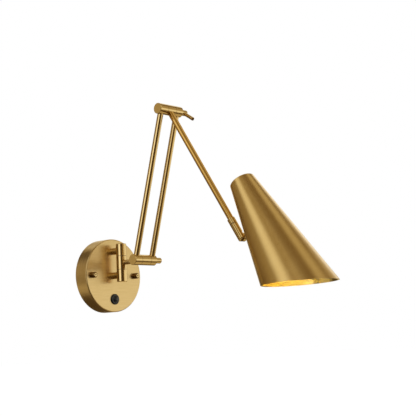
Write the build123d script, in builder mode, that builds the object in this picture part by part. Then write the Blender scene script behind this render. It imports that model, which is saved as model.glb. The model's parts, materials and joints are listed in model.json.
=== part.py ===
"""Swing arm wall lamp: wall canopy, vertical swing hinge, two-rod lower arm, elbow, upper arm, cone shade.

Millimetres. +Z is up, the wall is the plane Y = 0 and the lamp stands out of it towards -Y.
The origin is the middle of the wall bracket's back face. The arms are drawn as they hang in use.
"""
import os
from math import atan2, cos, radians, sin, tan

from build123d import *

# Wall canopy and what fixes it
canopy_radius = 60.0
canopy_depth = 26.0
canopy_wall = 1.2
canopy_edge = 1.6
stud_x = 46.5
stud_radius = 2.0
stud_hole_gap = 0.4
stud_head_radius = 3.8
stud_head_thickness = 2.6
stud_nut_flats = 7.0
stud_nut_height = 3.2
cap_nut_radius = 4.8
cap_nut_length = 8.0
cap_nut_nose_radius = 2.6
cap_nut_nose_length = 2.2
cap_nut_hole_radius = 1.3
cap_nut_end_wall = 2.0
groove_depth = 0.5
groove_half_width = 0.4
groove_from_nose = 4.0

# Wall bracket: a joggled strip with two slots for the wall screws
bracket_thickness = 2.0
bracket_height = 18.0
bracket_joggle = 3.2
bracket_flat_x = 39.0
bracket_ramp_x = 42.0
bracket_end_x = 53.0
slot_x = 30.0
slot_length = 14.0
slot_width = 5.0
bracket_corner = 3.0
bracket_middle_hole_radius = 5.0
bracket_screw_hole_radius = 1.5
tab_width = 26.0
tab_low_z = -25.0

# Swing hinge: a vertical row of three barrels on two posts
barrel_radius = 8.5
swing_y = -45.3
swing_z = 19.5
swing_half_height = 31.2
swing_middle_half = 10.8
post_spacing = 40.0
post_radius = 5.5
post_stem_radius = 4.0
post_stem_end = 15.0
post_bore_radius = 2.2
post_bore_depth = 18.0
post_washer_radius = 8.0
post_washer_thickness = 1.2
post_nut_flats = 13.0
post_nut_height = 4.0
pin_radius = 4.0
pin_end_gap = 0.5
hinge_cap_thickness = 1.5
hinge_cap_spigot = 2.0

# Shared fits
washer_thickness = 0.5
washer_radius = 8.1
bolt_radius = 3.0
running_gap = 0.05
bush_gap = 0.15
edge_break = 0.4

# Swing arm
stub_reach = 52.2
stub_radius = 4.0
stub_bore_radius = 2.4

# Lower arm: two rods between two rows of three barrels
lower_arm_length = 242.5
lower_arm_lean = 16.8
rod_radius = 4.7
rod_wall = 1.0
rod_x = 17.4
knuckle_middle_half = 9.75
knuckle_half_width = 24.6
elbow_middle_half = 8.75
elbow_half_width = 26.0
barrel_chamfer = 2.4
bolt_hole_depth = 10.0
bolt_engagement = 9.0
bolt_end_beyond_barrels = 6.0

# Clamp nut of the lower knuckle and lever nut of the elbow
nut_radius = 4.8
nut_length = 12.5
nut_nose = 1.6
lever_radius = 2.8
lever_reach = 25.0
lever_slope = 56.6
lever_from_nut_end = 6.0

# Upper arm and the swivel sleeve at its end, measured along the rod from the elbow axis
upper_arm_slope = 32.55
collar_start = 222.0
collar_end = 232.0
collar_seat = 4.0
ferrule_radius = 6.1
sleeve_end = 260.6
sleeve_end_chamfer = 0.8
tilt_pivot = 256.0
tongue_shoulder = 247.6
tongue_thickness = 6.3
tongue_gap = 0.1
tilt_disc_radius = 6.8
swivel_web = 4.0
swivel_head_radius = 4.3
swivel_head_length = 3.0
swivel_head_gap = 0.1
counterbore_radius = 4.5
counterbore_taper = 1.4
counterbore_end_gap = 2.6
tilt_screw_radius = 2.0
tilt_thread_depth = 4.6
tilt_head_radius = 4.2
tilt_head_height = 2.0
tilt_socket_radius = 1.5
tilt_socket_depth = 1.2
tilt_washer_radius = 4.8

# Stem that carries the shade from the tilt pivot
stem_radius = 3.0
stem_bore_radius = 1.5
stem_bore_start = 4.0
stem_beyond_wall = 8.0
stem_nut_flats = 9.0
stem_nut_height = 3.0
pad_radius = 7.0
pad_thickness = 1.6

# Shade: a slim cone with a closed top and a mouth cut level
shade_x = 3.25
shade_top_y = -309.0
shade_top_z = 119.0
shade_tilt = 30.2
shade_half_angle = 9.82
shade_top_radius = 19.3
shade_wall = 1.0
shade_top_edge = 1.2
shade_long_side = 232.0
mouth_on_axis = 182.9
mouth_tilt = -1.95

# Push switch on the canopy
switch_z = -39.0
switch_flange_radius = 8.75
switch_flange_depth = 2.4
switch_bushing_radius = 6.0
switch_flange_chamfer = 1.2
switch_body_radius = 7.5
switch_body_back = 6.0
switch_body_front = 20.5
switch_recess = 3.0
switch_nut_radius = 9.0
switch_nut_height = 2.4
lug_x = 3.5
lug_size = (0.8, 4.8)
lug_length = 5.0
button_radius = 5.4
button_dome = 2.6
button_travel = 2.5
button_side_gap = 0.2
button_proud = 0.3
shaft_radius = 3.0
shaft_end = 17.0
shaft_end_gap = 0.5

# Socket bracket, lampholder and bulb in the shade, measured along its axis from the closed top
bracket_top = 22.0
strip_width = 12.0
strip_metal = 1.4
strip_inset = 2.2
strip_beyond_stem = 12.0
strip_foot = 8.0
nipple_radius = 5.0
nipple_bore_radius = 3.6
nipple_above_bracket = 6.0
nipple_nut_flats = 14.0
nipple_nut_height = 3.0
holder_start = 27.0
holder_length = 38.0
holder_radius = 13.5
holder_neck_radius = 9.0
holder_shoulder = 1.5
holder_skirt = 12.0
holder_skirt_step = 1.2
holder_thread_depth = 4.0
holder_floor = 9.0
screw_cap_radius = 6.9
screw_cap_gap = 0.2
screw_cap_beyond = 1.0
cap_contact_radius = 2.6
cap_contact_start = 10.0
cap_taper_start = 12.0
cap_taper_end = 14.0
cap_taper = 1.6
bulb_radius = 22.5
bulb_end = 120.0
bulb_wall = 1.0
bulb_neck_radius = 9.0
bulb_shoulder_angle = 125.0

# Terminal block and earth screw on the bracket
block_size = (20.0, 8.5, 9.0)
block_z = -17.0
terminal_pitch = 6.2
terminal_hole_radius = 1.9
terminal_hole_depth = 3.0
terminal_screw_radius = 1.7
terminal_screw_height = 2.2
screw_slot = (2.6, 0.5)
screw_slot_depth = 0.7
earth_screw_x = 15.5
earth_thread_start = 0.2
earth_head_radius = 3.6
earth_head_height = 2.4
earth_head_chamfer = 1.0

# Arm directions in the plane X = 0
lower_lean = radians(lower_arm_lean)
upper_slope = radians(upper_arm_slope)
tilt = radians(shade_tilt)
flare = radians(shade_half_angle)
lower_direction = Vector(0, -sin(lower_lean), cos(lower_lean))
upper_direction = Vector(0, -sin(upper_slope), -cos(upper_slope))
shade_direction = Vector(0, -sin(tilt), -cos(tilt))

# Joint centres
swing_centre = Vector(0, swing_y, swing_z)
knuckle_centre = swing_centre + Vector(0, -stub_reach, 0)
elbow_centre = knuckle_centre + lower_direction * lower_arm_length
pivot_centre = elbow_centre + upper_direction * tilt_pivot
shade_top = Vector(shade_x, shade_top_y, shade_top_z)

# Directions and sketch planes whose normal runs along a piece's axis
across_x = Vector(1, 0, 0)
outwards = Vector(0, -1, 0)
upwards = Vector(0, 0, 1)
wall_plane = Plane.XZ
swing_line = Plane(origin=swing_centre, x_dir=across_x, z_dir=upwards)


def plane_along_x(centre, x):
    """A plane square to X, at x from a joint centre in the middle of the lamp."""
    return Plane(origin=(x, centre.Y, centre.Z), x_dir=(0, 1, 0), z_dir=across_x)


def plane_along(start, direction, distance):
    """A plane square to a direction, at a distance along it, with its X axis along the lamp's X."""
    return Plane(origin=start + direction * distance, x_dir=across_x, z_dir=direction)


def lathe_plane(start, direction):
    """A plane through an axis: local X runs along the axis and local Y is the radius."""
    side = Vector(0, 0, 1) if abs(direction.X) > 0.5 else across_x
    return Plane(origin=start, x_dir=direction, z_dir=side)


def turned(start, direction, outline):
    """A turned piece from (distance along the axis, radius) points."""
    plane = lathe_plane(start, direction)
    with BuildPart() as piece:
        with BuildSketch(plane):
            with BuildLine():
                Polyline(*outline, close=True)
            make_face()
        revolve(axis=Axis(plane.origin, plane.x_dir))
    return piece


def ring(plane, outer, inner, length):
    """A plain ring or tube that starts on a plane."""
    with BuildPart() as piece:
        with BuildSketch(plane):
            Circle(outer)
            Circle(inner, mode=Mode.SUBTRACT)
        extrude(amount=length)
    return piece


def hexagon_nut(planes, across_flats, bore, length):
    """Hexagon nuts, one on each plane."""
    with BuildPart() as piece:
        for plane in planes:
            with BuildSketch(plane):
                RegularPolygon(across_flats / 2, 6, major_radius=False)
                Circle(bore, mode=Mode.SUBTRACT)
            extrude(amount=length)
    return piece


def out_of_wall(x, depth, z):
    """A plane square to the lamp's depth, at a depth in front of the wall."""
    return Plane(origin=(x, -depth, z), x_dir=across_x, z_dir=outwards)


parts = {}

# Wall bracket: strip bent forward at both ends, with a tab for the terminal block
ramp_angle = atan2(bracket_joggle, bracket_ramp_x - bracket_flat_x)
ramp_shift = bracket_thickness * tan(ramp_angle / 2)
tab_height = -bracket_height / 2 - tab_low_z
with BuildPart() as wall_bracket:
    with BuildSketch(Plane.XY.offset(-bracket_height / 2)):
        with BuildLine():
            Polyline(
                (0, 0),
                (bracket_flat_x, 0),
                (bracket_ramp_x, -bracket_joggle),
                (bracket_end_x, -bracket_joggle),
                (bracket_end_x, -bracket_joggle - bracket_thickness),
                (bracket_ramp_x - ramp_shift, -bracket_joggle - bracket_thickness),
                (bracket_flat_x - ramp_shift, -bracket_thickness),
                (0, -bracket_thickness),
                close=True,
            )
        make_face()
        mirror(about=Plane.YZ)
    extrude(amount=bracket_height)
    with BuildSketch(wall_plane):
        with Locations((0, tab_low_z + tab_height / 2)):
            Rectangle(tab_width, tab_height)
    extrude(amount=bracket_thickness)
    with BuildSketch(wall_plane):
        with Locations((-slot_x, 0), (slot_x, 0)):
            SlotOverall(slot_length, slot_width)
        with Locations((-stud_x, 0), (stud_x, 0)):
            Circle(stud_radius)
        Circle(bracket_middle_hole_radius)
        with Locations((earth_screw_x, 0), (0, block_z)):
            Circle(bracket_screw_hole_radius)
    extrude(amount=canopy_depth, both=True, mode=Mode.SUBTRACT)
    corners = wall_bracket.edges().filter_by(Axis.Y).group_by(Axis.X)
    fillet(corners[0] + corners[-1], bracket_corner)
parts["wall_bracket"] = wall_bracket

# Two studs stand out of the bracket's ends, through the canopy
stud_head_back = bracket_joggle - stud_head_thickness
stud_end = canopy_depth + cap_nut_length - cap_nut_end_wall
with BuildPart() as canopy_studs:
    for x in (-stud_x, stud_x):
        with BuildSketch(wall_plane.offset(stud_head_back)):
            with Locations((x, 0)):
                Circle(stud_head_radius)
        extrude(amount=stud_head_thickness)
        with BuildSketch(wall_plane.offset(bracket_joggle)):
            with Locations((x, 0)):
                Circle(stud_radius)
        extrude(amount=stud_end - bracket_joggle)
parts["canopy_studs"] = canopy_studs

stud_nut_back = bracket_joggle + bracket_thickness
parts["stud_lock_nuts"] = hexagon_nut(
    [out_of_wall(x, stud_nut_back, 0) for x in (-stud_x, stud_x)],
    stud_nut_flats,
    stud_radius,
    stud_nut_height,
)

# Canopy: a shallow spun cup, open to the wall
post_z = [swing_z + post_spacing / 2, swing_z - post_spacing / 2]
with BuildPart() as canopy:
    with BuildSketch(wall_plane):
        Circle(canopy_radius)
    extrude(amount=canopy_depth)
    fillet(canopy.faces().sort_by(Axis.Y)[0].edges(), canopy_edge)
    offset(amount=-canopy_wall, openings=canopy.faces().sort_by(Axis.Y)[-1])
    with BuildSketch(wall_plane.offset(canopy_depth)):
        with Locations((-stud_x, 0), (stud_x, 0)):
            Circle(stud_radius + stud_hole_gap)
        with Locations(*[(0, z) for z in post_z]):
            Circle(post_stem_radius + bush_gap)
        with Locations((0, switch_z)):
            Circle(switch_bushing_radius + bush_gap)
    extrude(amount=-2 * canopy_wall, mode=Mode.SUBTRACT)
parts["canopy"] = canopy

# Round cap nuts: a collar at the canopy, a rounded nose with a small hole
nose = canopy_depth + cap_nut_length
nose_start = nose - cap_nut_nose_length
groove = nose - groove_from_nose
with BuildPart() as cap_nuts:
    for x in (-stud_x, stud_x):
        plane = lathe_plane(Vector(x, 0, 0), outwards)
        with BuildSketch(plane):
            with BuildLine():
                Polyline(
                    (nose, cap_nut_nose_radius),
                    (nose, cap_nut_hole_radius),
                    (stud_end, cap_nut_hole_radius),
                    (stud_end, stud_radius),
                    (canopy_depth, stud_radius),
                    (canopy_depth, cap_nut_radius),
                    (groove - groove_half_width, cap_nut_radius),
                    (groove, cap_nut_radius - groove_depth),
                    (groove + groove_half_width, cap_nut_radius),
                    (nose_start, cap_nut_radius),
                )
                TangentArc((nose_start, cap_nut_radius), (nose, cap_nut_nose_radius), tangent=(1, 0))
            make_face()
        revolve(axis=Axis(plane.origin, plane.x_dir))
parts["cap_nuts"] = cap_nuts

# Posts that carry the swing hinge, with threaded stems through the canopy
def post(z):
    """A hollow post that ends in a saddle against the hinge barrel."""
    with BuildPart() as piece:
        with BuildSketch(out_of_wall(0, post_stem_end, z)):
            Circle(post_stem_radius)
        extrude(amount=canopy_depth - post_stem_end)
        with BuildSketch(out_of_wall(0, canopy_depth, z)):
            Circle(post_radius)
        extrude(amount=-swing_y - canopy_depth)
        with BuildSketch(swing_line.offset(z - swing_z)):
            Circle(barrel_radius)
        extrude(amount=2 * post_radius, both=True, mode=Mode.SUBTRACT)
        with BuildSketch(out_of_wall(0, post_stem_end, z)):
            Circle(post_bore_radius)
        extrude(amount=post_bore_depth, mode=Mode.SUBTRACT)
    return piece


parts["upper_post"] = post(post_z[0])
parts["lower_post"] = post(post_z[1])

post_washer_back = canopy_depth - canopy_wall - post_washer_thickness
with BuildPart() as post_washers:
    for z in post_z:
        with BuildSketch(out_of_wall(0, post_washer_back, z)):
            Circle(post_washer_radius)
            Circle(post_stem_radius, mode=Mode.SUBTRACT)
        extrude(amount=post_washer_thickness)
parts["post_washers"] = post_washers
parts["post_nuts"] = hexagon_nut(
    [out_of_wall(0, post_washer_back - post_nut_height, z) for z in post_z],
    post_nut_flats,
    post_stem_radius,
    post_nut_height,
)

# Swing hinge: fixed barrels above and below, the turning barrel between them
fixed_start = swing_middle_half + washer_thickness
fixed_end = swing_half_height - hinge_cap_thickness
for name, sign in (("upper_hinge_barrel", 1), ("lower_hinge_barrel", -1)):
    parts[name] = ring(
        Plane(origin=swing_centre + upwards * (sign * fixed_start), x_dir=across_x, z_dir=upwards * sign),
        barrel_radius,
        pin_radius,
        fixed_end - fixed_start,
    )

with BuildPart() as hinge_caps:
    for sign in (1, -1):
        cap_base = Plane(
            origin=swing_centre + upwards * (sign * fixed_end), x_dir=across_x, z_dir=upwards * sign
        )
        with BuildSketch(cap_base):
            Circle(barrel_radius)
        extrude(amount=hinge_cap_thickness)
        with BuildSketch(cap_base):
            Circle(pin_radius)
        extrude(amount=-hinge_cap_spigot)
    ends = hinge_caps.faces().sort_by(Axis.Z)
    chamfer(ends[0].edges() + ends[-1].edges(), 2 * edge_break)
parts["hinge_caps"] = hinge_caps

with BuildPart() as swing_pin:
    with BuildSketch(swing_line):
        Circle(pin_radius)
    extrude(amount=fixed_end - hinge_cap_spigot - pin_end_gap, both=True)
parts["swing_pin"] = swing_pin

with BuildPart() as swing_washers:
    for sign in (1, -1):
        with BuildSketch(
            Plane(origin=swing_centre + upwards * (sign * swing_middle_half), x_dir=across_x, z_dir=upwards * sign)
        ):
            Circle(washer_radius)
            Circle(pin_radius, mode=Mode.SUBTRACT)
        extrude(amount=washer_thickness)
parts["swing_washers"] = swing_washers

# Swing arm: turning barrel, stub and the middle barrel of the lower knuckle
with BuildPart() as swing_barrel:
    with BuildSketch(swing_line):
        Circle(barrel_radius)
        Circle(pin_radius + running_gap, mode=Mode.SUBTRACT)
    extrude(amount=swing_middle_half - running_gap, both=True)
parts["swing_barrel"] = swing_barrel

with BuildPart() as arm_stub:
    with BuildSketch(plane_along(swing_centre, outwards, 0)):
        Circle(stub_radius)
        Circle(stub_bore_radius, mode=Mode.SUBTRACT)
    extrude(amount=stub_reach)
    with BuildSketch(swing_line):
        Circle(barrel_radius)
    extrude(amount=2 * stub_radius, both=True, mode=Mode.SUBTRACT)
    with BuildSketch(plane_along_x(knuckle_centre, 0)):
        Circle(barrel_radius)
    extrude(amount=2 * stub_radius, both=True, mode=Mode.SUBTRACT)
parts["arm_stub"] = arm_stub


def middle_barrel(centre, half_width):
    """The middle barrel of a knuckle, bored to turn on its bolt."""
    with BuildPart() as piece:
        with BuildSketch(plane_along_x(centre, 0)):
            Circle(barrel_radius)
            Circle(bolt_radius + running_gap, mode=Mode.SUBTRACT)
        extrude(amount=half_width - running_gap, both=True)
    return piece


def blind_barrel(centre, middle_half, half_width):
    """The left barrel of a knuckle, with a blind hole for the bolt."""
    start = plane_along_x(centre, -middle_half - washer_thickness)
    with BuildPart() as piece:
        with BuildSketch(start):
            Circle(barrel_radius)
        extrude(amount=-(half_width - middle_half - washer_thickness))
        chamfer(piece.faces().sort_by(Axis.X)[0].edges(), edge_break)
        with BuildSketch(start):
            Circle(bolt_radius)
        extrude(amount=-bolt_hole_depth, mode=Mode.SUBTRACT)
    return piece


def clamp_barrel(centre, middle_half, half_width):
    """The right barrel of a knuckle, chamfered towards the nut that clamps the row."""
    with BuildPart() as piece:
        with BuildSketch(plane_along_x(centre, middle_half + washer_thickness)):
            Circle(barrel_radius)
        extrude(amount=half_width - middle_half - washer_thickness)
        chamfer(piece.faces().sort_by(Axis.X)[-1].edges(), barrel_chamfer)
        with BuildSketch(plane_along_x(centre, 0)):
            Circle(bolt_radius)
        extrude(amount=2 * half_width, mode=Mode.SUBTRACT)
    return piece


def knuckle_bolt(centre, middle_half, half_width):
    """A plain bolt through a knuckle's row of barrels."""
    start_x = -middle_half - washer_thickness - bolt_engagement
    with BuildPart() as piece:
        with BuildSketch(plane_along_x(centre, start_x)):
            Circle(bolt_radius)
        extrude(amount=half_width + bolt_end_beyond_barrels - start_x)
    return piece


def knuckle_washers(centre, middle_half):
    """Friction washers in the two seams of a knuckle."""
    with BuildPart() as piece:
        for x in (-middle_half - washer_thickness, middle_half):
            with BuildSketch(plane_along_x(centre, x)):
                Circle(washer_radius)
                Circle(bolt_radius, mode=Mode.SUBTRACT)
            extrude(amount=washer_thickness)
    return piece


parts["knuckle_middle_barrel"] = middle_barrel(knuckle_centre, knuckle_middle_half)
parts["knuckle_left_barrel"] = blind_barrel(knuckle_centre, knuckle_middle_half, knuckle_half_width)
parts["knuckle_right_barrel"] = clamp_barrel(knuckle_centre, knuckle_middle_half, knuckle_half_width)
parts["knuckle_bolt"] = knuckle_bolt(knuckle_centre, knuckle_middle_half, knuckle_half_width)
parts["knuckle_washers"] = knuckle_washers(knuckle_centre, knuckle_middle_half)


def round_nut(centre, half_width, gap=0.0):
    """A round nut with a rounded outer end on a knuckle's bolt, clear of it by a gap if it turns."""
    inner = half_width + gap
    outer = half_width + nut_length
    bolt_end = half_width + bolt_end_beyond_barrels + gap
    plane = lathe_plane(centre, across_x)
    with BuildPart() as piece:
        with BuildSketch(plane):
            with BuildLine():
                Polyline(
                    (outer, nut_radius - nut_nose),
                    (outer, 0),
                    (bolt_end, 0),
                    (bolt_end, bolt_radius + gap),
                    (inner, bolt_radius + gap),
                    (inner, nut_radius),
                    (outer - nut_nose, nut_radius),
                )
                TangentArc((outer - nut_nose, nut_radius), (outer, nut_radius - nut_nose), tangent=(1, 0))
            make_face()
        revolve(axis=Axis(plane.origin, plane.x_dir))
    return piece


parts["knuckle_clamp_nut"] = round_nut(knuckle_centre, knuckle_half_width)


# Lower arm rods, saddled at both ends against the outer barrels
def lower_rod(x):
    """A tube between the two rows of barrels."""
    with BuildPart() as piece:
        start = knuckle_centre + across_x * x
        with BuildSketch(plane_along(start, lower_direction, 0)):
            Circle(rod_radius)
            Circle(rod_radius - rod_wall, mode=Mode.SUBTRACT)
        extrude(amount=lower_arm_length)
        for centre in (knuckle_centre, elbow_centre):
            with BuildSketch(plane_along_x(centre, x)):
                Circle(barrel_radius)
            extrude(amount=2 * rod_radius, both=True, mode=Mode.SUBTRACT)
    return piece


parts["left_rod"] = lower_rod(-rod_x)
parts["right_rod"] = lower_rod(rod_x)

# Elbow: outer barrels on the lower arm, middle barrel on the upper arm, lever nut on the bolt
parts["elbow_left_barrel"] = blind_barrel(elbow_centre, elbow_middle_half, elbow_half_width)
parts["elbow_right_barrel"] = clamp_barrel(elbow_centre, elbow_middle_half, elbow_half_width)
parts["elbow_bolt"] = knuckle_bolt(elbow_centre, elbow_middle_half, elbow_half_width)
parts["elbow_washers"] = knuckle_washers(elbow_centre, elbow_middle_half)
parts["elbow_middle_barrel"] = middle_barrel(elbow_centre, elbow_middle_half)

parts["lever_nut"] = round_nut(elbow_centre, elbow_half_width, running_gap)

lever_angle = radians(lever_slope)
lever_direction = Vector(0, -sin(lever_angle), -cos(lever_angle))
lever_x = elbow_half_width + nut_length - lever_from_nut_end
with BuildPart() as elbow_lever:
    with BuildSketch(plane_along(elbow_centre + across_x * lever_x, lever_direction, 0)):
        Circle(lever_radius)
    extrude(amount=lever_reach)
    chamfer(elbow_lever.faces().sort_by(Axis.Z)[0].edges(), edge_break)
    with BuildSketch(plane_along_x(elbow_centre, lever_x)):
        Circle(nut_radius)
    extrude(amount=2 * lever_radius, both=True, mode=Mode.SUBTRACT)
parts["elbow_lever"] = elbow_lever

# Upper arm: tube, then the collar that ends it
with BuildPart() as upper_rod:
    with BuildSketch(plane_along(elbow_centre, upper_direction, 0)):
        Circle(rod_radius)
        Circle(rod_radius - rod_wall, mode=Mode.SUBTRACT)
    extrude(amount=collar_end - collar_seat)
    with BuildSketch(plane_along_x(elbow_centre, 0)):
        Circle(barrel_radius)
    extrude(amount=2 * rod_radius, both=True, mode=Mode.SUBTRACT)
parts["upper_rod"] = upper_rod

parts["rod_collar"] = turned(
    elbow_centre,
    upper_direction,
    [
        (collar_start, rod_radius),
        (collar_start, ferrule_radius - edge_break),
        (collar_start + edge_break, ferrule_radius),
        (collar_end - edge_break, ferrule_radius),
        (collar_end, ferrule_radius - edge_break),
        (collar_end, bolt_radius),
        (collar_end - collar_seat, bolt_radius),
        (collar_end - collar_seat, rod_radius),
    ],
)

# Swivel: a shouldered pin screwed into the collar carries the sleeve
swivel_washer_end = collar_end + washer_thickness
web_end = swivel_washer_end + swivel_web
pin_head_start = web_end + swivel_head_gap
pin_head_end = pin_head_start + swivel_head_length
parts["swivel_washer"] = ring(
    plane_along(elbow_centre, upper_direction, collar_end),
    ferrule_radius - edge_break,
    bolt_radius,
    washer_thickness,
)
parts["swivel_pin"] = turned(
    elbow_centre,
    upper_direction,
    [
        (collar_end - collar_seat, 0),
        (collar_end - collar_seat, bolt_radius),
        (pin_head_start, bolt_radius),
        (pin_head_start, swivel_head_radius),
        (pin_head_end, swivel_head_radius),
        (pin_head_end, 0),
    ],
)

sleeve_start = swivel_washer_end + running_gap
counterbore_end = tongue_shoulder - counterbore_end_gap
sleeve_plane = lathe_plane(elbow_centre, upper_direction)
with BuildPart() as swivel_sleeve:
    with BuildSketch(sleeve_plane):
        with BuildLine():
            Polyline(
                (sleeve_start, bolt_radius + running_gap),
                (sleeve_start, ferrule_radius - edge_break),
                (sleeve_start + edge_break, ferrule_radius),
                (sleeve_end - sleeve_end_chamfer, ferrule_radius),
                (sleeve_end, ferrule_radius - sleeve_end_chamfer),
                (sleeve_end, 0),
                (counterbore_end, 0),
                (counterbore_end - counterbore_taper, counterbore_radius),
                (web_end, counterbore_radius),
                (web_end, bolt_radius + running_gap),
                close=True,
            )
        make_face()
    revolve(axis=Axis(sleeve_plane.origin, sleeve_plane.x_dir))
    with BuildSketch(plane_along(elbow_centre, upper_direction, tongue_shoulder)):
        with Locations((ferrule_radius - tongue_gap / 2, 0)):
            Rectangle(2 * ferrule_radius, 4 * ferrule_radius)
    extrude(amount=2 * (sleeve_end - tongue_shoulder), mode=Mode.SUBTRACT)
    with BuildSketch(plane_along_x(pivot_centre, -tilt_thread_depth)):
        Circle(tilt_screw_radius)
    extrude(amount=2 * ferrule_radius, mode=Mode.SUBTRACT)
parts["swivel_sleeve"] = swivel_sleeve

# Tilt pivot: the shade's round tongue lies beside the sleeve's tongue on one screw
shade_back = Vector(0, cos(tilt), -sin(tilt))
wall_outwards = shade_back * cos(flare) - shade_direction * sin(flare)
pivot_from_top = pivot_centre - Vector(0, shade_top_y, shade_top_z)
pivot_along = pivot_from_top.dot(shade_direction)
pivot_off_axis = pivot_from_top.dot(shade_back)
pivot_to_wall = (pivot_off_axis - shade_top_radius - pivot_along * tan(flare)) * cos(flare)
stem_x = tongue_gap / 2 + tongue_thickness / 2
stem_direction = wall_outwards * -1
stem_start = Vector(stem_x, pivot_centre.Y, pivot_centre.Z)
shade_plane = lathe_plane(shade_top, shade_direction)
shade_axis = Axis(shade_plane.origin, shade_plane.x_dir)


def shade_radius(distance):
    """The shade's outer radius at a distance along its axis from the closed top."""
    return shade_top_radius + distance * tan(flare)


with BuildPart() as shade_knuckle:
    with BuildSketch(plane_along(stem_start, stem_direction, pivot_to_wall - pad_thickness)):
        Circle(pad_radius)
    extrude(amount=2 * pad_thickness)
    with BuildSketch(shade_plane):
        with BuildLine():
            Polyline(
                (0, 0),
                (0, shade_radius(0)),
                (shade_long_side, shade_radius(shade_long_side)),
                (shade_long_side, 0),
                close=True,
            )
        make_face()
    revolve(axis=shade_axis, mode=Mode.SUBTRACT)
    with BuildSketch(plane_along_x(pivot_centre, tongue_gap / 2)):
        Circle(tilt_disc_radius)
    extrude(amount=tongue_thickness)
    with BuildSketch(plane_along(stem_start, stem_direction, 0)):
        Circle(stem_radius)
    extrude(amount=pivot_to_wall + stem_beyond_wall)
    with BuildSketch(plane_along_x(pivot_centre, 0)):
        Circle(tilt_screw_radius + running_gap)
    extrude(amount=2 * tongue_thickness, mode=Mode.SUBTRACT)
    with BuildSketch(plane_along(stem_start, stem_direction, stem_bore_start)):
        Circle(stem_bore_radius)
    extrude(amount=pivot_to_wall + stem_beyond_wall, mode=Mode.SUBTRACT)
parts["shade_knuckle"] = shade_knuckle

tilt_washer_start = tongue_gap / 2 + tongue_thickness + running_gap
tilt_head_start = tilt_washer_start + washer_thickness
tilt_head_end = tilt_head_start + tilt_head_height
parts["tilt_washer"] = ring(
    plane_along_x(pivot_centre, tilt_washer_start), tilt_washer_radius, tilt_screw_radius, washer_thickness
)
parts["tilt_screw"] = turned(
    pivot_centre,
    across_x,
    [
        (-tilt_thread_depth, 0),
        (-tilt_thread_depth, tilt_screw_radius),
        (tilt_head_start, tilt_screw_radius),
        (tilt_head_start, tilt_head_radius),
        (tilt_head_end - edge_break, tilt_head_radius),
        (tilt_head_end, tilt_head_radius - edge_break),
        (tilt_head_end, tilt_socket_radius),
        (tilt_head_end - tilt_socket_depth, tilt_socket_radius),
        (tilt_head_end - tilt_socket_depth, 0),
    ],
)

# Shade: spun cone, closed at the top, cut level across the mouth
inner_shift = shade_wall / cos(flare)
mouth_angle = radians(mouth_tilt)
mouth_plane = Plane(
    origin=shade_top + shade_direction * mouth_on_axis,
    x_dir=across_x,
    z_dir=(0, sin(mouth_angle), -cos(mouth_angle)),
)
with BuildPart() as shade:
    with BuildSketch(shade_plane):
        with BuildLine():
            Polyline(
                (0, 0),
                (0, shade_top_radius - shade_top_edge),
                (shade_top_edge, shade_radius(shade_top_edge)),
                (shade_long_side, shade_radius(shade_long_side)),
                (shade_long_side, shade_radius(shade_long_side) - inner_shift),
                (shade_wall, shade_radius(shade_wall) - inner_shift),
                (shade_wall, 0),
                close=True,
            )
        make_face()
    revolve(axis=shade_axis)
    split(bisect_by=mouth_plane, keep=Keep.BOTTOM)
    with BuildSketch(plane_along(stem_start, stem_direction, pivot_to_wall)):
        Circle(stem_radius)
    extrude(amount=stem_radius, both=True, mode=Mode.SUBTRACT)
parts["shade"] = shade

# Socket bracket: an angle strip held under the stem's nut, carrying the lampholder on the axis
strip_end = pivot_along + strip_beyond_stem
strip_low = bracket_top + strip_metal
holder_top = Vector(stem_x, shade_top_y, shade_top_z)
side_plane = Plane(origin=holder_top - across_x * (strip_width / 2), x_dir=shade_direction, z_dir=across_x)
with BuildPart() as socket_bracket:
    with BuildSketch(side_plane):
        with BuildLine():
            Polyline(
                (bracket_top, -strip_foot),
                (bracket_top, shade_radius(bracket_top) - strip_inset),
                (strip_end, shade_radius(strip_end) - strip_inset),
                (strip_end, shade_radius(strip_end) - strip_inset - strip_metal),
                (strip_low, shade_radius(strip_low) - strip_inset - strip_metal),
                (strip_low, -strip_foot),
                close=True,
            )
        make_face()
    extrude(amount=strip_width)
    with BuildSketch(plane_along(stem_start, stem_direction, pivot_to_wall)):
        Circle(stem_radius)
    extrude(amount=stem_beyond_wall, mode=Mode.SUBTRACT)
    with BuildSketch(plane_along(holder_top, shade_direction, bracket_top)):
        Circle(nipple_radius)
    extrude(amount=strip_metal, mode=Mode.SUBTRACT)
parts["socket_bracket"] = socket_bracket

stem_nut_start = pivot_to_wall + strip_inset * cos(flare) + strip_metal
parts["stem_nut"] = hexagon_nut(
    [plane_along(stem_start, stem_direction, stem_nut_start)], stem_nut_flats, stem_radius, stem_nut_height
)

# Lampholder, hung from the bracket on a hollow threaded nipple
nipple_start = bracket_top - nipple_above_bracket
holder_end = holder_start + holder_length
skirt_start = holder_end - holder_skirt
parts["holder_nipple"] = ring(
    plane_along(holder_top, shade_direction, nipple_start),
    nipple_radius,
    nipple_bore_radius,
    holder_start + holder_thread_depth - nipple_start,
)
parts["nipple_nut"] = hexagon_nut(
    [plane_along(holder_top, shade_direction, bracket_top - nipple_nut_height)],
    nipple_nut_flats,
    nipple_radius,
    nipple_nut_height,
)
parts["lampholder"] = turned(
    holder_top,
    shade_direction,
    [
        (strip_low, nipple_radius),
        (strip_low, holder_neck_radius),
        (holder_start, holder_radius - holder_shoulder),
        (holder_start + holder_shoulder, holder_radius),
        (skirt_start, holder_radius),
        (skirt_start, holder_radius - holder_skirt_step),
        (holder_end, holder_radius - holder_skirt_step),
        (holder_end, screw_cap_radius + screw_cap_gap),
        (holder_start + holder_floor, screw_cap_radius + screw_cap_gap),
        (holder_start + holder_floor, 0),
        (holder_start + holder_thread_depth, 0),
        (holder_start + holder_thread_depth, nipple_radius),
    ],
)

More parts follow.
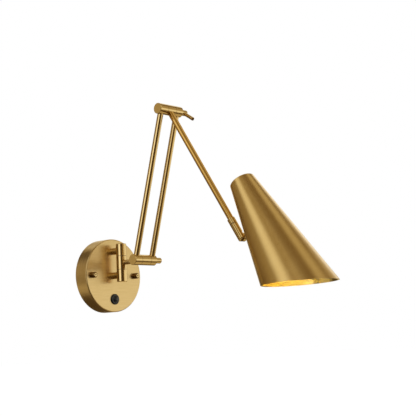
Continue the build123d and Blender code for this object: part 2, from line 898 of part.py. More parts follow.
# Bulb: screw cap, then a round glass
neck_start = holder_end + screw_cap_beyond
parts["bulb_cap"] = turned(
    holder_top,
    shade_direction,
    [
        (holder_start + cap_contact_start, 0),
        (holder_start + cap_contact_start, cap_contact_radius),
        (holder_start + cap_taper_start, screw_cap_radius - cap_taper),
        (holder_start + cap_taper_end, screw_cap_radius),
        (neck_start, screw_cap_radius),
        (neck_start, 0),
    ],
)
globe_centre = bulb_end - bulb_radius
shoulder_angle = radians(bulb_shoulder_angle)
bulb_inner_radius = bulb_radius - bulb_wall
shoulder_reach = globe_centre + bulb_radius * cos(shoulder_angle)
inner_reach = globe_centre + bulb_inner_radius * cos(shoulder_angle)
bulb_plane = lathe_plane(holder_top, shade_direction)
with BuildPart() as bulb_glass:
    with BuildSketch(bulb_plane):
        with BuildLine():
            Line((bulb_end - bulb_wall, 0), (bulb_end, 0))
            CenterArc((globe_centre, 0), bulb_radius, 0, bulb_shoulder_angle)
            Polyline(
                (shoulder_reach, bulb_radius * sin(shoulder_angle)),
                (neck_start, bulb_neck_radius),
                (neck_start, bulb_neck_radius - bulb_wall),
                (inner_reach, bulb_inner_radius * sin(shoulder_angle)),
            )
            CenterArc((globe_centre, 0), bulb_inner_radius, 0, bulb_shoulder_angle)
        make_face()
    revolve(axis=Axis(bulb_plane.origin, bulb_plane.x_dir))
parts["bulb_glass"] = bulb_glass

# Push switch: flanged housing through the canopy, ring nut behind, domed button in front
flange_front = canopy_depth + switch_flange_depth
recess_floor = canopy_depth - switch_recess
shaft_floor = shaft_end - button_travel - shaft_end_gap
switch_plane = lathe_plane(Vector(0, 0, switch_z), outwards)
switch_axis = Axis(switch_plane.origin, switch_plane.x_dir)
with BuildPart() as switch_housing:
    with BuildSketch(switch_plane):
        with BuildLine():
            Polyline(
                (switch_body_back, 0),
                (switch_body_back, switch_body_radius),
                (switch_body_front, switch_body_radius),
                (switch_body_front, switch_bushing_radius),
                (canopy_depth, switch_bushing_radius),
                (canopy_depth, switch_flange_radius),
                (flange_front - switch_flange_chamfer, switch_flange_radius),
                (flange_front, switch_flange_radius - switch_flange_chamfer),
                (flange_front, button_radius + button_side_gap),
                (recess_floor, button_radius + button_side_gap),
                (recess_floor, shaft_radius + running_gap),
                (shaft_floor, shaft_radius + running_gap),
                (shaft_floor, 0),
                close=True,
            )
        make_face()
    revolve(axis=switch_axis)
    with BuildSketch(out_of_wall(0, switch_body_back, switch_z)):
        with Locations((-lug_x, 0), (lug_x, 0)):
            Rectangle(*lug_size)
    extrude(amount=-lug_length)
parts["switch_housing"] = switch_housing
parts["switch_ring_nut"] = ring(
    out_of_wall(0, canopy_depth - canopy_wall - switch_nut_height, switch_z),
    switch_nut_radius,
    switch_bushing_radius,
    switch_nut_height,
)

button_front = flange_front + button_proud
button_back = recess_floor + button_travel + button_side_gap
dome_sphere = (button_radius**2 + button_dome**2) / (2 * button_dome)
with BuildPart() as switch_button:
    with BuildSketch(switch_plane):
        with BuildLine():
            Polyline(
                (button_front + button_dome, 0),
                (shaft_end, 0),
                (shaft_end, shaft_radius),
                (button_back, shaft_radius),
                (button_back, button_radius),
                (button_front, button_radius),
            )
            RadiusArc((button_front, button_radius), (button_front + button_dome, 0), dome_sphere)
        make_face()
    revolve(axis=switch_axis)
parts["switch_button"] = switch_button

# Terminal block with three clamp screws, and the earth screw beside it
block_width, block_depth, block_height = block_size
block_front = bracket_thickness + block_depth
with BuildPart() as terminal_block:
    with BuildSketch(out_of_wall(0, bracket_thickness, block_z)):
        Rectangle(block_width, block_height)
    extrude(amount=block_depth)
    with BuildSketch(out_of_wall(0, block_front, block_z)):
        with GridLocations(terminal_pitch, 0, 3, 1):
            Circle(terminal_hole_radius)
    extrude(amount=-terminal_hole_depth, mode=Mode.SUBTRACT)
parts["terminal_block"] = terminal_block

screw_base = block_front - terminal_hole_depth
with BuildPart() as terminal_screws:
    with BuildSketch(out_of_wall(0, screw_base, block_z)):
        with GridLocations(terminal_pitch, 0, 3, 1):
            Circle(terminal_screw_radius)
    extrude(amount=terminal_screw_height)
    with BuildSketch(out_of_wall(0, screw_base + terminal_screw_height, block_z)):
        with GridLocations(terminal_pitch, 0, 3, 1):
            Rectangle(*screw_slot)
    extrude(amount=-screw_slot_depth, mode=Mode.SUBTRACT)
parts["terminal_screws"] = terminal_screws

earth_head_front = bracket_thickness + earth_head_height
parts["earth_screw"] = turned(
    Vector(earth_screw_x, 0, 0),
    outwards,
    [
        (earth_thread_start, 0),
        (earth_thread_start, bracket_screw_hole_radius),
        (bracket_thickness, bracket_screw_hole_radius),
        (bracket_thickness, earth_head_radius),
        (earth_head_front - earth_head_chamfer, earth_head_radius),
        (earth_head_front, earth_head_radius - earth_head_chamfer),
        (earth_head_front, 0),
    ],
)

# Write one file per piece
os.makedirs("parts", exist_ok=True)
for name, piece in parts.items():
    piece.part.label = name
    export_step(piece.part, f"parts/{name}.step")
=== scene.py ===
"""The swing arm wall lamp in satin brass, lit, in a plain pale studio."""

import json
import math

import bpy
from mathutils import Matrix, Vector

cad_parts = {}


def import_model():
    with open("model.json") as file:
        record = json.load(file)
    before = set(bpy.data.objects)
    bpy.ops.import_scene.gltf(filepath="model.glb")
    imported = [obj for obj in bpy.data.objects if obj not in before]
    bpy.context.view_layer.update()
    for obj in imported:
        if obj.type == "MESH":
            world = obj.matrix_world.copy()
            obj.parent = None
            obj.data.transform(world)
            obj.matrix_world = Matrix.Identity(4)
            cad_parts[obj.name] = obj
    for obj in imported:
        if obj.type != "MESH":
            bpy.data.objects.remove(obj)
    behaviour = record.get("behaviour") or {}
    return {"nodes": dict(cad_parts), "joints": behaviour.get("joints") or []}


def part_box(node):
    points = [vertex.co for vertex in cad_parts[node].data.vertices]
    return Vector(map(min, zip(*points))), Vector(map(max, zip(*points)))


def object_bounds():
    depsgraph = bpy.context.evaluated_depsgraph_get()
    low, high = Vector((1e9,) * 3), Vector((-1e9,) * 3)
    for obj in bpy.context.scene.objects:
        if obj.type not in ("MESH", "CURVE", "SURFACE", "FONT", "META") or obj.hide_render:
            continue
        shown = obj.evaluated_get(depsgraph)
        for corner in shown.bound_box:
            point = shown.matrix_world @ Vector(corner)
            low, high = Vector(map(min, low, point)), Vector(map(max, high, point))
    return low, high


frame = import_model()
cad_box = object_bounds()
nodes = frame["nodes"]
joints = {joint["name"]: joint for joint in frame["joints"]}
MM = 0.001

# Camera: where the photograph was taken from, and its lens
CAMERA_PLACE = Vector((-1169.87, -1307.48, -117.51)) * MM
CAMERA_YAW = math.radians(-47.667)
CAMERA_PITCH = math.radians(-7.341)
CAMERA_ROLL = math.radians(-2.541)
CAMERA_NEAR, CAMERA_FAR = 0.05, 60
IMAGE_SIZE = 416
FOCAL_PIXELS = 1050
SENSOR_WIDTH = 36.0

# Colours: what each shows under white light, and the tone of its darker grain; the cap nuts' hole and
# shoulder colours are painted shade
BRASS = (0.82, 0.595, 0.255)
BRASS_DEEP = (0.74, 0.52, 0.205)
BRASS_PALE = (0.83, 0.625, 0.300)
BRASS_PALE_DEEP = (0.76, 0.55, 0.245)
BRASS_RICH = (0.88, 0.585, 0.20)
BRASS_RICH_DEEP = (0.80, 0.51, 0.16)
CANOPY_BRASS = (0.88, 0.67, 0.335)
CANOPY_BRASS_DEEP = (0.68, 0.49, 0.215)
BRASS_INSIDE = (0.93, 0.77, 0.34)
# Painted shade for the cap nuts: near black in the hole, dark brown on the shoulder and sides
HOLE_PAINTED_SHADE = (0.05, 0.03, 0.012)
SHOULDER_PAINTED_SHADE = (0.30, 0.185, 0.07)
STEEL = (0.60, 0.60, 0.58)
STEEL_DEEP = (0.46, 0.47, 0.46)
GLASS = (1.0, 0.92, 0.78)
GLOW_MIDDLE = (1.0, 0.97, 0.64)
GLOW_EDGE = (1.0, 0.89, 0.50)
FLOOR_TONES = (0.90, 0.90, 0.90), (0.94, 0.94, 0.94)
WHITE = (1.0, 1.0, 1.0)

# Axes of the turned pieces, from the frame
SWING = Vector(joints["arm_swing"]["pos_m"])
KNUCKLE = Vector(joints["lower_arm_tilt"]["pos_m"])
ELBOW = Vector(joints["elbow"]["pos_m"])
PIVOT = Vector(joints["shade_tilt"]["pos_m"])
WALL_CENTRE = Vector((0, 0, 0))
UP = Vector((0, 0, 1))
ALONG_X = Vector((1, 0, 0))
OUTWARDS = Vector((0, -1, 0))
LOWER_ARM = (ELBOW - KNUCKLE).normalized()
UPPER_ARM = (PIVOT - ELBOW).normalized()
SHADE_TOP = Vector((3.25, -309.0, 119.0)) * MM
SHADE_TILT = math.radians(30.2)
SHADE_AXIS = Vector((0, -math.sin(SHADE_TILT), -math.cos(SHADE_TILT)))
LEVER_LOW, LEVER_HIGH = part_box("elbow_lever")
LEVER_END = Vector(((LEVER_LOW.x + LEVER_HIGH.x) / 2, LEVER_LOW.y, LEVER_LOW.z))
LEVER_AXIS = (LEVER_END - Vector((LEVER_END.x, ELBOW.y, ELBOW.z))).normalized()

# Cap nuts, in millimetres: how far each axis is from the middle, and the radii and blurs where painted
# shade begins, in the hole and on the shoulder past the nose
CAP_NUT_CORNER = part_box("cap_nuts")[1]
CAP_NUT_X = (CAP_NUT_CORNER.x - CAP_NUT_CORNER.z) / MM
CAP_NUT_HOLE, CAP_NUT_HOLE_BLUR = 1.2, 0.15
CAP_NUT_NOSE, CAP_NUT_NOSE_BLUR = 2.7, 0.3

# Grain round an axis: the noise's steps per millimetre along it, and the radius of its circle round it
LATHE_GRAIN = (5.0, 1.2)
SHADE_GRAIN = (3.0, 2.0)
RIM_GRAIN = (0.8, 1.0)
# Other grain: the noise's steps per millimetre across and along a tube, or in x, y and z
DRAWN_ACROSS, DRAWN_ALONG = 2.2, 0.05
FACE_GRAIN = (0.03, 1.0, 0.9)
STEEL_GRAIN = (0.9, 0.9, 0.9)
GRAIN_DETAIL, GRAIN_ROUGHNESS = 3.0, 0.65

# Other noise, in steps per millimetre, and the detail and roughness that go with it
CLOUD_SCALE, SHADE_CLOUD_SCALE = 0.045, 0.03
CLOUD_DETAIL, CLOUD_ROUGHNESS = 3.0, 0.6
RIPPLE_SCALE = 0.16
PEBBLE_SCALE = 3.2
PEBBLE_DETAIL, PEBBLE_ROUGHNESS = 3.0, 0.6
FLECK_SCALE = 0.12
FROST_SCALE = 2.5

# Looks of single pieces: the ripples' height as a multiple of the grain's, and how much flecks darken
RIPPLE_HEIGHT = 42.0
INSIDE_ROUGH = 0.25
FLECK_DEPTH = 0.12
BULB_STRENGTH = 50.0
HARD_EDGE = math.radians(32)

# The Mix node's sockets for each kind of value: two inputs and the output
MIX_SOCKETS = {"FLOAT": (2, 3, 0), "VECTOR": (4, 5, 1), "RGBA": (6, 7, 2)}


class Graph:
    """A node tree with short calls for making and joining nodes."""

    def __init__(self, tree):
        self.tree = tree
        self.tree.nodes.clear()

    def make(self, kind, inputs=None, **settings):
        """A node with its settings and inputs: an input is a value or another node's output."""
        node = self.tree.nodes.new(kind)
        for name, value in settings.items():
            setattr(node, name, value)
        for name, value in (inputs or {}).items():
            socket = node.inputs[name]
            if isinstance(value, bpy.types.NodeSocket):
                self.tree.links.new(value, socket)
            elif socket.type == "RGBA":
                socket.default_value = (*value, 1.0)
            else:
                socket.default_value = value
        return node

    def math(self, operation, first, second=0.0):
        """A Math node's result."""
        return self.make("ShaderNodeMath", {0: first, 1: second}, operation=operation).outputs[0]

    def vector(self, operation, first, second=(0, 0, 0)):
        """A Vector Math node's result: a number for a dot product or a length, a vector otherwise."""
        node = self.make("ShaderNodeVectorMath", {0: first, 1: second}, operation=operation)
        return node.outputs["Value" if operation in ("DOT_PRODUCT", "LENGTH") else "Vector"]

    def scaled(self, vector, factor):
        """A vector times a number."""
        inputs = {0: vector, "Scale": factor}
        return self.make("ShaderNodeVectorMath", inputs, operation="SCALE").outputs["Vector"]

    def spread(self, value, low, high, out_low=0.0, out_high=1.0, smooth=False):
        """A value's range mapped to another range."""
        kind = "SMOOTHSTEP" if smooth else "LINEAR"
        inputs = {"Value": value, "From Min": low, "From Max": high, "To Min": out_low, "To Max": out_high}
        return self.make("ShaderNodeMapRange", inputs, interpolation_type=kind).outputs["Result"]

    def noise(self, vector, scale, detail=2.0, roughness=0.5):
        """A noise texture's value."""
        inputs = {"Vector": vector, "Scale": scale, "Detail": detail, "Roughness": roughness}
        return self.make("ShaderNodeTexNoise", inputs).outputs["Fac"]

    def mix(self, factor, first, second, kind="RGBA"):
        """Two colours, numbers or vectors mixed."""
        one, other, result = MIX_SOCKETS[kind]
        inputs = {0: factor, one: first, other: second}
        return self.make("ShaderNodeMix", inputs, data_type=kind).outputs[result]

    def surface(self, shader):
        """Joins a shader node to the material's output."""
        self.make("ShaderNodeOutputMaterial", {"Surface": shader.outputs[0]})


def material(name):
    """A new material and its empty graph."""
    made = bpy.data.materials.new(name)
    made.use_nodes = True
    return made, Graph(made.node_tree)


def dress(names, made):
    """Gives CAD nodes a material."""
    for name in names:
        slots = nodes[name].data.materials
        slots.clear()
        slots.append(made)


def rest_position(graph):
    """The point on the surface in the frame at rest, in millimetres, so grain moves with its piece."""
    place = graph.make("ShaderNodeTexCoord").outputs["Object"]
    return graph.vector("MULTIPLY", place, (1 / MM,) * 3)


def round_grain(graph, origin, axis, grain):
    """A noise vector for fine lines that run round an axis, and the direction away from that axis."""
    across, around = grain
    offset = graph.vector("SUBTRACT", rest_position(graph), tuple(origin / MM))
    along = graph.vector("DOT_PRODUCT", offset, tuple(axis))
    side = graph.vector("NORMALIZE", graph.vector("SUBTRACT", offset, graph.scaled(tuple(axis), along)))
    rings = graph.scaled(tuple(axis), graph.math("MULTIPLY", along, across))
    return graph.vector("ADD", rings, graph.scaled(side, around)), side


def long_grain(graph, origin, axis):
    """A noise vector for fine lines that run along an axis."""
    offset = graph.vector("SUBTRACT", rest_position(graph), tuple(origin / MM))
    along = graph.vector("DOT_PRODUCT", offset, tuple(axis))
    squeeze = graph.scaled(tuple(axis), graph.math("MULTIPLY", along, DRAWN_ALONG - DRAWN_ACROSS))
    return graph.vector("ADD", graph.scaled(offset, DRAWN_ACROSS), squeeze)


def world_direction(graph, axis):
    """An axis of the frame at rest as the posed piece turns it, for the grain's direction."""
    node = graph.make(
        "ShaderNodeVectorTransform",
        {"Vector": tuple(axis)},
        vector_type="VECTOR",
        convert_from="OBJECT",
        convert_to="WORLD",
    )
    return node.outputs["Vector"]


def grain_and_clouds(graph, grain_vector, cloud_scale, cloud_share):
    """Fine grain, and a tone that adds slow clouds to it in the given share."""
    fine = graph.noise(grain_vector, 1.0, GRAIN_DETAIL, GRAIN_ROUGHNESS)
    clouds = graph.noise(rest_position(graph), cloud_scale, CLOUD_DETAIL, CLOUD_ROUGHNESS)
    fine_part = graph.math("MULTIPLY", fine, 1 - cloud_share)
    return fine, graph.math("ADD", fine_part, graph.math("MULTIPLY", clouds, cloud_share))


def relief_normal(graph, height, relief):
    """The normal of a surface whose relief is given in millimetres."""
    inputs = {"Strength": 1.0, "Distance": relief * MM, "Height": height}
    return graph.make("ShaderNodeBump", inputs).outputs[0]


def metal_surface(graph, colour, roughness, normal, stretch, tangent):
    """A metal shader as the material's surface, its gloss stretched along the tangent if it has one."""
    inputs = {
        "Base Color": colour,
        "Metallic": 1.0,
        "Roughness": roughness,
        "Normal": normal,
        "Anisotropic": stretch,
    }
    if tangent is not None:
        inputs["Tangent"] = world_direction(graph, tangent)
    graph.surface(graph.make("ShaderNodeBsdfPrincipled", inputs))


def metal(name, grain_of, tones, rough, relief=0.004, stretch=0.3, tangent=None, cloud=0.5, recolour=None):
    """Brushed metal: grain and slow clouds move its tone and roughness, and the grain has relief in mm."""
    made, graph = material(name)
    fine, tone = grain_and_clouds(graph, grain_of(graph), CLOUD_SCALE, cloud)
    colour = graph.mix(graph.spread(tone, 0.25, 0.75), tones[1], tones[0])
    if recolour is not None:
        colour = recolour(graph, colour)
    roughness = graph.spread(tone, 0.2, 0.8, *rough)
    metal_surface(graph, colour, roughness, relief_normal(graph, fine, relief), stretch, tangent)
    return made


def turned_brass(name, origin, axis, rough=(0.12, 0.17), **more):
    """Brass turned on a lathe round an axis."""
    def grain(graph):
        return round_grain(graph, origin, axis, LATHE_GRAIN)[0]
    return metal(name, grain, (BRASS_PALE, BRASS_PALE_DEEP), rough, tangent=axis, **more)


def drawn_brass(name, origin, axis, rough=(0.09, 0.12), tones=(BRASS_PALE, BRASS_PALE_DEEP)):
    """Brass tube, polished along its length."""
    def grain(graph):
        return long_grain(graph, origin, axis)
    return metal(name, grain, tones, rough, relief=0.001, stretch=0.0)


def canopy_brass():
    """Brass for the canopy, a spun cup with rings round its rim and its face brushed from side to side."""
    def grain(graph):
        rings = round_grain(graph, WALL_CENTRE, OUTWARDS, RIM_GRAIN)[0]
        face = graph.vector("MULTIPLY", rest_position(graph), FACE_GRAIN)
        normal = graph.make("ShaderNodeTexCoord").outputs["Normal"]
        facing = graph.vector("DOT_PRODUCT", normal, tuple(OUTWARDS))
        return graph.mix(graph.spread(facing, 0.6, 0.9), rings, face, kind="VECTOR")
    tones = (CANOPY_BRASS, CANOPY_BRASS_DEEP)
    return metal("canopy_brass", grain, tones, (0.26, 0.37), relief=0.03, stretch=0.2, cloud=0.3)


def cap_nut_brass_painted_shade():
    """Turned brass nuts each side of the canopy's middle: a bright nose, with painted shade in its hole and
    on the shoulder and sides behind it, where dark reflections fall.
    """
    def recolour(graph, bright):
        place = graph.make("ShaderNodeSeparateXYZ", {"Vector": rest_position(graph)})
        from_nut = graph.math("SUBTRACT", graph.math("ABSOLUTE", place.outputs["X"]), CAP_NUT_X)
        away = graph.make("ShaderNodeCombineXYZ", {"X": from_nut, "Z": place.outputs["Z"]})
        distance = graph.vector("LENGTH", away.outputs["Vector"])
        # Painted shade: dark past the nose's edge, near black inside the hole
        shoulder_shade_mask = graph.spread(distance, CAP_NUT_NOSE, CAP_NUT_NOSE + CAP_NUT_NOSE_BLUR)
        outside_hole_shade_mask = graph.spread(distance, CAP_NUT_HOLE, CAP_NUT_HOLE + CAP_NUT_HOLE_BLUR)
        return graph.mix(outside_hole_shade_mask, HOLE_PAINTED_SHADE, graph.mix(shoulder_shade_mask, bright, SHOULDER_PAINTED_SHADE))
    return turned_brass("cap_nut_brass_painted_shade", WALL_CENTRE, OUTWARDS, rough=(0.12, 0.18), recolour=recolour)


def shade_brass():
    """Brass for the shade: lathe lines round it outside, and a rippled, brighter inside."""
    made, graph = material("shade_brass")
    grain_vector, side = round_grain(graph, SHADE_TOP, SHADE_AXIS, SHADE_GRAIN)
    fine, tone = grain_and_clouds(graph, grain_vector, SHADE_CLOUD_SCALE, 0.4)
    normal = graph.make("ShaderNodeTexCoord").outputs["Normal"]
    inside = graph.spread(graph.vector("DOT_PRODUCT", normal, side), 0.2, -0.2)
    outer = graph.mix(graph.spread(tone, 0.38, 0.62), BRASS_DEEP, BRASS)
    colour = graph.mix(inside, outer, BRASS_INSIDE)
    outer_rough = graph.spread(tone, 0.3, 0.7, 0.27, 0.33)
    roughness = graph.mix(inside, outer_rough, INSIDE_ROUGH, kind="FLOAT")
    ripple = graph.math("MULTIPLY", graph.noise(rest_position(graph), RIPPLE_SCALE), inside)
    height = graph.math("ADD", fine, graph.math("MULTIPLY", ripple, RIPPLE_HEIGHT))
    metal_surface(graph, colour, roughness, relief_normal(graph, height, 0.010), 0.35, SHADE_AXIS)
    return made


def plain_steel():
    """Zinc-plated steel for the hidden fittings."""
    def grain(graph):
        return graph.vector("MULTIPLY", rest_position(graph), STEEL_GRAIN)
    return metal("zinc_steel", grain, (STEEL, STEEL_DEEP), (0.30, 0.46), stretch=0.0)


def plastic(name, colour, rough, relief=0.02):
    """Moulded plastic with a fine pebbled skin and slow flecks that are a little darker."""
    made, graph = material(name)
    place = rest_position(graph)
    skin = graph.noise(place, PEBBLE_SCALE, PEBBLE_DETAIL, PEBBLE_ROUGHNESS)
    flecks = graph.noise(place, FLECK_SCALE)
    darker = tuple(part * (1 - FLECK_DEPTH) for part in colour)
    inputs = {
        "Base Color": graph.mix(graph.spread(flecks, 0.35, 0.65), darker, colour),
        "Roughness": graph.spread(skin, 0.3, 0.7, rough * 0.85, rough * 1.15),
        "Normal": relief_normal(graph, skin, relief),
    }
    graph.surface(graph.make("ShaderNodeBsdfPrincipled", inputs))
    return made


def lit_glass():
    """The bulb's frosted glass, glowing warm, a little paler at its middle."""
    made, graph = material("lit_glass")
    frost = graph.noise(rest_position(graph), FROST_SCALE)
    weight = graph.make("ShaderNodeLayerWeight", {"Blend": 0.35}).outputs["Facing"]
    inputs = {
        "Base Color": GLASS,
        "Roughness": graph.spread(frost, 0.3, 0.7, 0.28, 0.42),
        "Emission Color": graph.mix(weight, GLOW_MIDDLE, GLOW_EDGE),
        "Emission Strength": BULB_STRENGTH,
    }
    graph.surface(graph.make("ShaderNodeBsdfPrincipled", inputs))
    return made


# Turned brass pieces, each with a material of its own, after a point on their axis and its direction
TURNED_PIECES = (
    (SWING, UP, ("swing_barrel", "upper_hinge_barrel", "lower_hinge_barrel", "hinge_caps")),
    (KNUCKLE, ALONG_X, ("knuckle_middle_barrel", "knuckle_left_barrel", "knuckle_right_barrel")),
    (KNUCKLE, ALONG_X, ("knuckle_clamp_nut",)),
    (ELBOW, ALONG_X, ("elbow_middle_barrel", "elbow_left_barrel", "elbow_right_barrel", "lever_nut")),
)
STEEL_PIECES = (
    "wall_bracket",
    "canopy_studs",
    "stud_lock_nuts",
    "post_washers",
    "post_nuts",
    "swing_pin",
    "knuckle_bolt",
    "elbow_bolt",
    "swivel_pin",
    "stem_nut",
    "socket_bracket",
    "holder_nipple",
    "nipple_nut",
    "terminal_screws",
    "bulb_cap",
)
FIBRE_WASHERS = ("swing_washers", "knuckle_washers", "elbow_washers", "swivel_washer", "tilt_washer")


def dress_all():
    """Gives every piece what it is made of."""
    for origin, axis, pieces in TURNED_PIECES:
        for piece in pieces:
            dress([piece], turned_brass(piece + "_brass", origin, axis))
    for piece in ("rod_collar", "swivel_sleeve"):
        dress([piece], turned_brass(piece + "_brass", ELBOW, UPPER_ARM, rough=(0.13, 0.19), relief=0.0015))
    dress(["shade_knuckle", "tilt_screw"], turned_brass("knuckle_disc_brass", PIVOT, ALONG_X))
    dress(["upper_post", "lower_post"], turned_brass("post_brass", SWING, OUTWARDS, rough=(0.24, 0.32)))
    dress(["arm_stub"], turned_brass("stub_brass", SWING, OUTWARDS, rough=(0.42, 0.50)))
    dress(["left_rod", "right_rod"], drawn_brass("lower_rod_brass", KNUCKLE, LOWER_ARM))
    rich = (BRASS_RICH, BRASS_RICH_DEEP)
    dress(["upper_rod"], drawn_brass("upper_rod_brass", ELBOW, UPPER_ARM, rough=(0.09, 0.13), tones=rich))
    dress(["elbow_lever"], drawn_brass("lever_brass", ELBOW, LEVER_AXIS))
    dress(["cap_nuts"], cap_nut_brass_painted_shade())
    dress(["canopy"], canopy_brass())
    dress(["shade"], shade_brass())
    dress(STEEL_PIECES, plain_steel())
    dress(FIBRE_WASHERS, plastic("washer_fibre", (0.16, 0.11, 0.05), 0.55))
    dress(["earth_screw"], turned_brass("earth_screw_brass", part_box("earth_screw")[0], OUTWARDS))
    dress(["switch_housing", "switch_ring_nut"], plastic("black_plastic", (0.005, 0.006, 0.006), 0.30))
    dress(["switch_button"], plastic("black_button", (0.008, 0.009, 0.010), 0.18, relief=0.01))
    dress(["terminal_block"], plastic("white_nylon", (0.80, 0.79, 0.74), 0.45))
    dress(["lampholder"], plastic("holder_thermoset", (0.78, 0.76, 0.70), 0.4))
    dress(["bulb_glass"], lit_glass())


def smooth_shading():
    """Rounds the shading of the turned faces and keeps hard edges hard."""
    for node in nodes.values():
        node.data.shade_smooth()
        modifier = node.modifiers.new("hard_edges", "EDGE_SPLIT")
        modifier.split_angle = HARD_EDGE


def camera():
    """The photograph's camera; returns the direction from the lamp back to it."""
    yaw, pitch, roll = CAMERA_YAW, CAMERA_PITCH, CAMERA_ROLL
    back = Vector((math.sin(yaw) * math.cos(pitch), -math.cos(yaw) * math.cos(pitch), math.sin(pitch)))
    level_right = Vector((math.cos(yaw), math.sin(yaw), 0))
    level_up = back.cross(level_right)
    right = level_right * math.cos(roll) + level_up * math.sin(roll)
    up = level_up * math.cos(roll) - level_right * math.sin(roll)
    data = bpy.data.cameras.new("camera")
    data.sensor_width = SENSOR_WIDTH
    data.lens = FOCAL_PIXELS / IMAGE_SIZE * SENSOR_WIDTH
    data.clip_start, data.clip_end = CAMERA_NEAR, CAMERA_FAR
    made = bpy.data.objects.new("camera", data)
    turn = Matrix((right, up, back)).transposed().to_4x4()
    made.matrix_world = Matrix.Translation(CAMERA_PLACE) @ turn
    bpy.context.scene.collection.objects.link(made)
    bpy.context.scene.camera = made
    return back


# Soft boxes of the light tent, in degrees: round from the camera to its right, up, half width, half height
# and blur, then the level, where 1 is white
SOFT_BOXES = (
    (-36, 4, 21, 17, 5, 1.22),
    (-62, 36, 23, 15, 9, 1.02),
    (-85, 2, 8, 20, 5, 0.46),
    (-106, 16, 26, 16, 9, 0.29),
    (-98, -23, 26, 10, 5, 0.50),
    (-34, 53, 34, 12, 12, 0.43),
    (0, 32, 18, 18, 6, 0.90),
    (101, -1, 50, 16, 12, 0.97),
    (100, 28, 50, 16, 7, 0.44),
    (118, -47, 44, 13, 6, 0.54),
    (92, 60, 34, 11, 9, 0.66),
    (152, 27, 15, 15, 6, 1.25),
    (180, 26, 16, 38, 6, 0.80),
    (-176, 54, 40, 18, 8, 0.90),
    (0, 90, 180, 45, 10, 0.22),
    (0, -90, 180, 36, 8, 0.20),
)
TENT_DARK = 0.07
TENT_RADIUS = 4.0
TENT_BRIGHTEST = 1.25
# The tent's colour at a share of its brightest level: warm where it is dim
TENT_TONES = (
    (0.0, (0.0, 0.0, 0.0)),
    (0.16, (0.21, 0.14, 0.065)),
    (0.45, (0.56, 0.46, 0.27)),
    (0.70, (0.88, 0.84, 0.70)),
    (1.0, (1.25, 1.25, 1.25)),
)


def tent_angles(graph, back):
    """Degrees to the camera's right of the camera, and degrees up, of a point on the tent."""
    centre = graph.make("ShaderNodeTexCoord").outputs["Object"]
    direction = graph.vector("NORMALIZE", centre)
    toward = Vector((back.x, back.y, 0)).normalized()
    right = Vector((-toward.y, toward.x, 0))
    rightward = graph.vector("DOT_PRODUCT", direction, tuple(right))
    forward = graph.vector("DOT_PRODUCT", direction, tuple(toward))
    height = graph.make("ShaderNodeSeparateXYZ", {"Vector": direction}).outputs["Z"]
    around = graph.math("MULTIPLY", graph.math("ARCTAN2", rightward, forward), math.degrees(1))
    above = graph.math("MULTIPLY", graph.math("ARCSINE", height), math.degrees(1))
    return around, above


def light_tent(back):
    """A tent round the lamp that only its reflections show: dark cloth with soft boxes in it."""
    bpy.ops.mesh.primitive_uv_sphere_add(segments=48, ring_count=24, radius=TENT_RADIUS)
    tent = bpy.context.object
    tent.name = "light_tent"
    made, graph = material("tent_cloth")
    around, above = tent_angles(graph, back)
    level = TENT_DARK
    for turn, rise, half_turn, half_rise, blur, value in SOFT_BOXES:
        gap = graph.math("ABSOLUTE", graph.math("SUBTRACT", around, turn))
        near = graph.math("MINIMUM", gap, graph.math("SUBTRACT", 360.0, gap))
        side = graph.spread(near, half_turn - blur, half_turn + blur, 1.0, 0.0, smooth=True)
        rise_gap = graph.math("ABSOLUTE", graph.math("SUBTRACT", above, rise))
        tall = graph.spread(rise_gap, half_rise - blur, half_rise + blur, 1.0, 0.0, smooth=True)
        lit = graph.math("MULTIPLY", graph.math("MULTIPLY", side, tall), value)
        level = graph.math("MAXIMUM", level, lit)
    tones = graph.make("ShaderNodeValToRGB", {"Fac": graph.math("DIVIDE", level, TENT_BRIGHTEST)})
    ramp = tones.color_ramp
    while len(ramp.elements) < len(TENT_TONES):
        ramp.elements.new(0.5)
    for element, (place, tone) in zip(ramp.elements, TENT_TONES):
        element.position = place
        element.color = (*tone, 1.0)
    graph.surface(graph.make("ShaderNodeEmission", {"Color": tones.outputs["Color"], "Strength": 1.0}))
    made.cycles.emission_sampling = "NONE"
    tent.data.materials.append(made)
    for ray in ("camera", "diffuse", "transmission", "shadow", "volume_scatter"):
        setattr(tent, "visible_" + ray, False)


# Floor: its size and its drop below the lamp in metres, the strength and share of the glow that the camera
# sees on it, and its speckle's steps per metre
FLOOR_SIZE = 60
FLOOR_DROP = 0.55
FLOOR_LIFT = 1.35
FLOOR_LIFT_SHARE = 0.5
SPECKLE_SCALE = 40.0


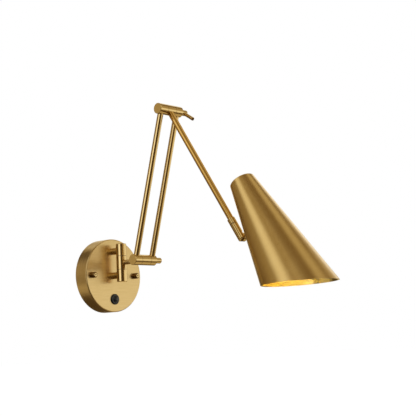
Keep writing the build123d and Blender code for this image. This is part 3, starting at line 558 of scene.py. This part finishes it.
def floor():
    """A plain pale floor that looks nearly white to the camera and keeps the lamp's shadow."""
    bpy.ops.mesh.primitive_plane_add(size=FLOOR_SIZE, location=(0, 0, cad_box[0].z - FLOOR_DROP))
    plane = bpy.context.object
    plane.name = "floor"
    made, graph = material("pale_floor")
    speckle = graph.noise(graph.make("ShaderNodeTexCoord").outputs["Object"], SPECKLE_SCALE)
    tone = graph.mix(speckle, *FLOOR_TONES)
    shader = graph.make("ShaderNodeBsdfPrincipled", {"Base Color": tone, "Roughness": 0.8})
    white = graph.make("ShaderNodeEmission", {"Color": WHITE, "Strength": FLOOR_LIFT})
    seen = graph.make("ShaderNodeLightPath").outputs["Is Camera Ray"]
    share = graph.math("MULTIPLY", seen, FLOOR_LIFT_SHARE)
    graph.surface(graph.make("ShaderNodeMixShader", {0: share, 1: shader.outputs[0], 2: white.outputs[0]}))
    plane.data.materials.append(made)
    plane.visible_glossy = False


WORLD_LEVEL = 0.75


def world():
    """White for the camera, gloss and glass, and a plain soft light else; the tent hides it from gloss."""
    made = bpy.data.worlds.new("studio")
    made.use_nodes = True
    bpy.context.scene.world = made
    graph = Graph(made.node_tree)
    path = graph.make("ShaderNodeLightPath")
    seen = graph.math("MAXIMUM", path.outputs["Is Camera Ray"], path.outputs["Is Glossy Ray"])
    seen = graph.math("MAXIMUM", seen, path.outputs["Is Transmission Ray"])
    strength = graph.spread(seen, 0.0, 1.0, WORLD_LEVEL, 1.0)
    background = graph.make("ShaderNodeBackground", {"Color": WHITE, "Strength": strength})
    graph.make("ShaderNodeOutputWorld", {"Surface": background.outputs[0]})
    made.cycles.sampling_method = "NONE"


# Lamps: name, place in metres, width of the square in metres, and watts
LAMPS = (
    ("key", (-1.4, -1.6, 1.6), 1.2, 22),
    ("fill", (1.8, -1.2, 0.8), 1.4, 12),
)


def lamp(name, place, size, power):
    """A soft square lamp that points at the middle of the object and that the metal doesn't mirror."""
    aim = (cad_box[0] + cad_box[1]) / 2
    data = bpy.data.lights.new(name, "AREA")
    data.shape, data.size, data.energy = "SQUARE", size, power
    made = bpy.data.objects.new(name, data)
    made.location = place
    made.rotation_mode = "QUATERNION"
    made.rotation_quaternion = (aim - Vector(place)).to_track_quat("-Z", "Y")
    made.visible_glossy = False
    bpy.context.scene.collection.objects.link(made)


dress_all()
smooth_shading()
camera_back = camera()
world()
floor()
light_tent(camera_back)
for lamp_values in LAMPS:
    lamp(*lamp_values)
bpy.context.scene.view_settings.view_transform = "Standard"
